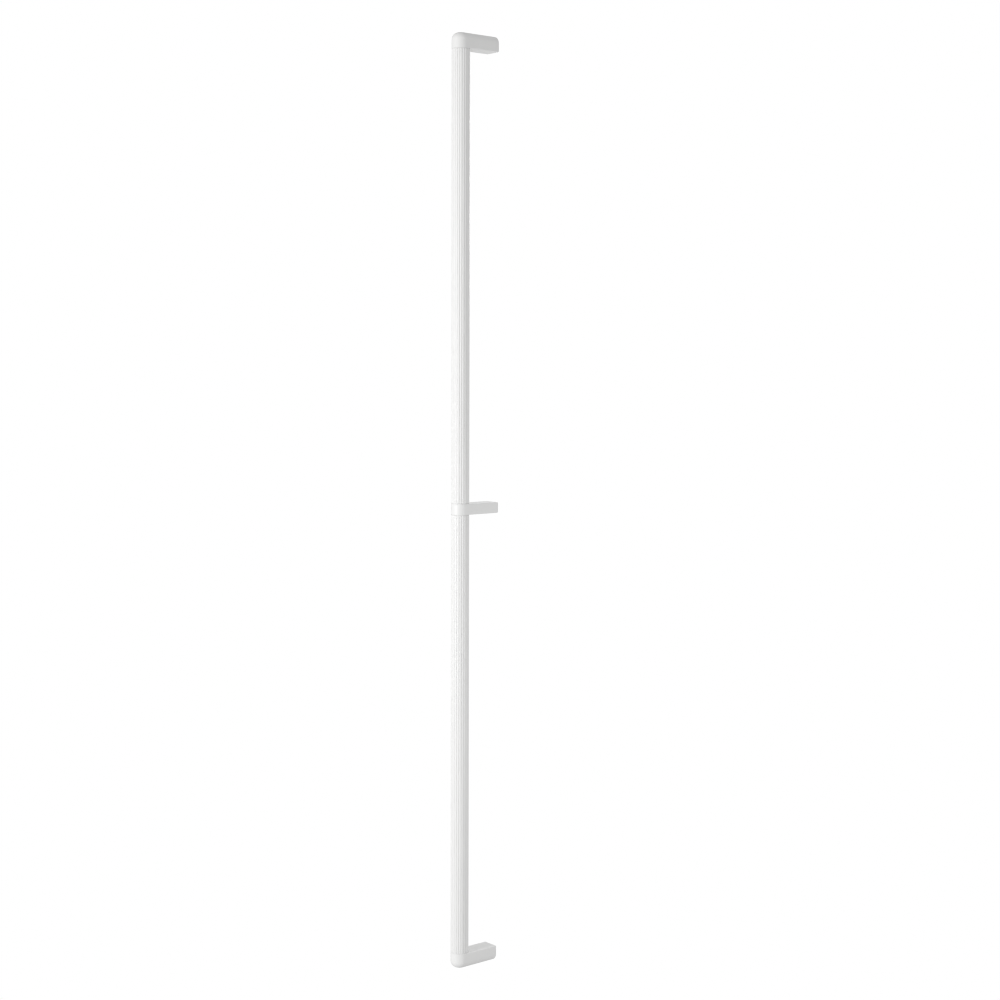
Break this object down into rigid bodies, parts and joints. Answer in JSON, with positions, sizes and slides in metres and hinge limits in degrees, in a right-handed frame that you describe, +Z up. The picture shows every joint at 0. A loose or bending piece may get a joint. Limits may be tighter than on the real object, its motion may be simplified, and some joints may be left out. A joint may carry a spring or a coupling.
{
  "type": "wall grab rail",
  "caption": "Vertical wall-mounted fluted grab rail in white plastic, with rounded elbow brackets at the ends and a collar bracket in the middle.",
  "frame": {"origin": "centre of the middle bracket's back face, on the wall plane, half way up the rail", "axes": "+Z up along the rail, +Y into the wall, +X to the right for a person facing the wall"},
  "size_m": [0.035, 0.0995, 1.8],
  "materials": {
    "grip_plastic": "satin moulded, fluted lengthwise",
    "housing_plastic": "satin moulded, fine even texture",
    "seal_rubber": "matt soft rubber",
    "tube_aluminium": "extruded, satin",
    "cast_aluminium": "die cast, dull",
    "screw_steel": "plain stainless",
    "insert_brass": "turned"
  },
  "bodies": {
    "root": {"core_tube": "tube_aluminium", "upper_grip_sleeve": "grip_plastic", "lower_grip_sleeve": "grip_plastic", "upper_elbow_seal_ring": "seal_rubber", "upper_collar_seal_ring": "seal_rubber", "lower_collar_seal_ring": "seal_rubber", "lower_elbow_seal_ring": "seal_rubber", "upper_elbow_housing": "housing_plastic", "upper_elbow_core": "cast_aluminium", "upper_wall_block": "cast_aluminium", "upper_wall_gasket": "seal_rubber", "upper_wall_lock_screw": "screw_steel", "upper_rail_lock_screw": "screw_steel", "middle_bracket_housing": "housing_plastic", "middle_bracket_core": "cast_aluminium", "middle_wall_block": "cast_aluminium", "middle_wall_gasket": "seal_rubber", "middle_wall_lock_screw": "screw_steel", "middle_tube_bolt": "screw_steel", "middle_bolt_washer": "screw_steel", "middle_tube_insert": "insert_brass", "lower_elbow_housing": "housing_plastic", "lower_elbow_core": "cast_aluminium", "lower_wall_block": "cast_aluminium", "lower_wall_gasket": "seal_rubber", "lower_wall_lock_screw": "screw_steel", "lower_rail_lock_screw": "screw_steel"}
  },
  "joints": []
}
